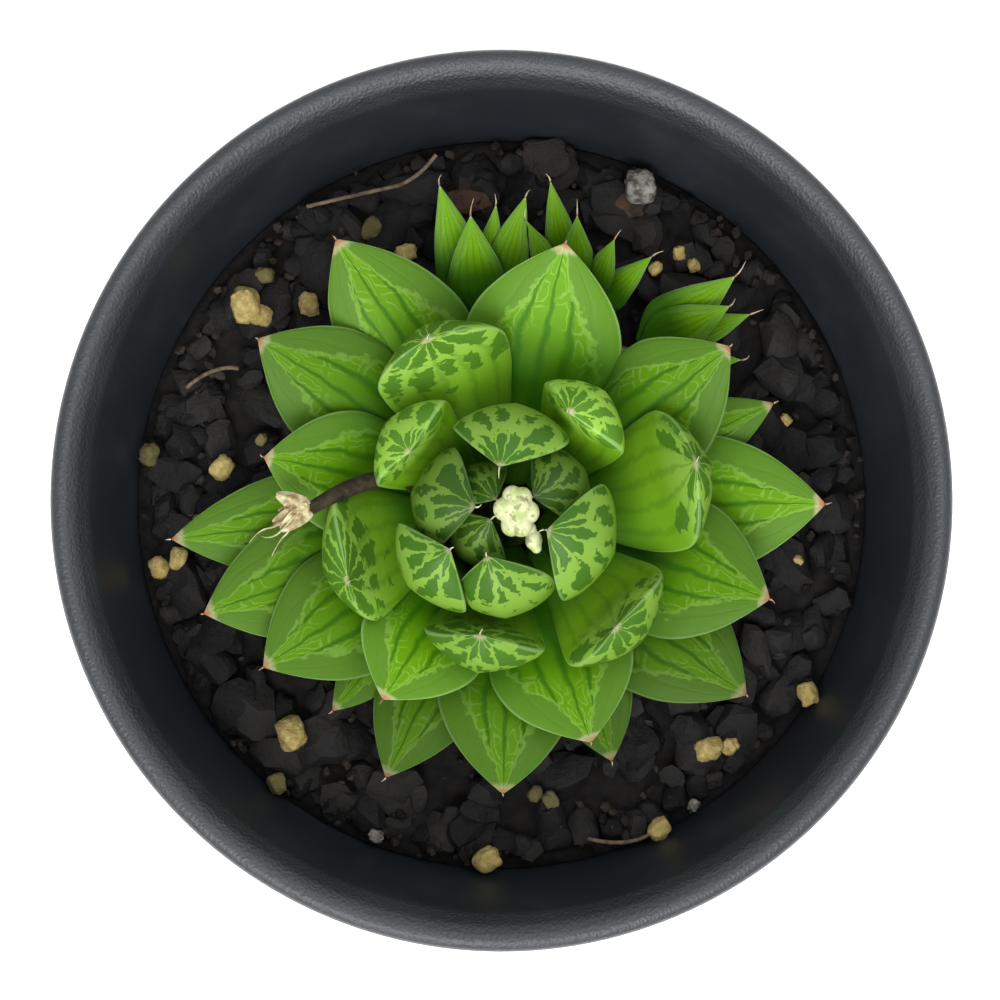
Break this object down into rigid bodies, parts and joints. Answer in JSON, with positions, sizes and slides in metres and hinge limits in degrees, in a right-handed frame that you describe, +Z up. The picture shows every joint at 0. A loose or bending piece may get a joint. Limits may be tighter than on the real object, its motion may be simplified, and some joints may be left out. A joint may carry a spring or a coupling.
{
  "type": "potted haworthia",
  "caption": "Windowed haworthia rosette with fat boat-shaped leaves, offset plantlets and a young flower bud, growing in dark bark mix in a round black nursery pot.",
  "frame": {"origin": "on the pot's axis, on the plane that the foot ring stands on", "axes": "+Z up along the pot's axis; +Y towards the side where the offset plantlets grow"},
  "size_m": [0.09, 0.09, 0.0843],
  "materials": {
    "pot": "black injection-moulded polypropylene with a fine grained lip, satin",
    "soil": "dark damp bark and lava pieces with scattered ochre granules",
    "stem": "fleshy pale brown stem and roots",
    "window_leaf": "succulent leaf with dark translucent windows between pale veins, waxy satin",
    "leaf": "succulent leaf, bright green face with netted darker veins and a pale border, waxy satin",
    "offset_leaf": "slender plain green succulent leaf, waxy satin",
    "bud": "cream to pale green flower bud, matt",
    "old_stalk": "dried olive-brown flower stalk",
    "dry": "dry papery white bract with a pink flush"
  },
  "bodies": {
    "root": {"dried_bract": "dry", "flower_bud_cluster": "bud", "flower_bud_side": "bud", "flower_stalk": "bud", "leaf_inner_01": "window_leaf", "leaf_inner_02": "window_leaf", "leaf_inner_03": "window_leaf", "leaf_inner_04": "window_leaf", "leaf_inner_05": "window_leaf", "leaf_inner_06": "window_leaf", "leaf_inner_07": "window_leaf", "leaf_inner_08": "window_leaf", "leaf_middle_01": "window_leaf", "leaf_middle_02": "window_leaf", "leaf_middle_03": "window_leaf", "leaf_middle_04": "window_leaf", "leaf_middle_05": "window_leaf", "leaf_middle_06": "window_leaf", "leaf_middle_07": "window_leaf", "leaf_offset_1_1": "offset_leaf", "leaf_offset_1_2": "offset_leaf", "leaf_offset_1_3": "offset_leaf", "leaf_offset_1_4": "offset_leaf", "leaf_offset_2_1": "offset_leaf", "leaf_offset_2_2": "offset_leaf", "leaf_offset_2_3": "offset_leaf", "leaf_offset_2_4": "offset_leaf", "leaf_offset_2_5": "offset_leaf", "leaf_offset_3_1": "offset_leaf", "leaf_offset_3_2": "offset_leaf", "leaf_offset_3_3": "offset_leaf", "leaf_offset_3_4": "offset_leaf", "leaf_outer_01": "leaf", "leaf_outer_02": "leaf", "leaf_outer_03": "leaf", "leaf_outer_04": "leaf", "leaf_outer_05": "leaf", "leaf_outer_06": "leaf", "leaf_outer_07": "leaf", "leaf_outer_08": "leaf", "leaf_outer_09": "leaf", "leaf_outer_10": "leaf", "leaf_outer_11": "leaf", "leaf_outer_12": "leaf", "leaf_outer_13": "leaf", "leaf_outer_14": "leaf", "leaf_outer_15": "leaf", "leaf_outer_16": "leaf", "leaf_outer_17": "leaf", "leaf_outer_18": "leaf", "main_stem": "stem", "offset_stem_1": "stem", "offset_stem_2": "stem", "offset_stem_3": "stem", "old_flower_stalk": "old_stalk", "pot": "pot", "soil": "soil"}
  },
  "joints": []
}
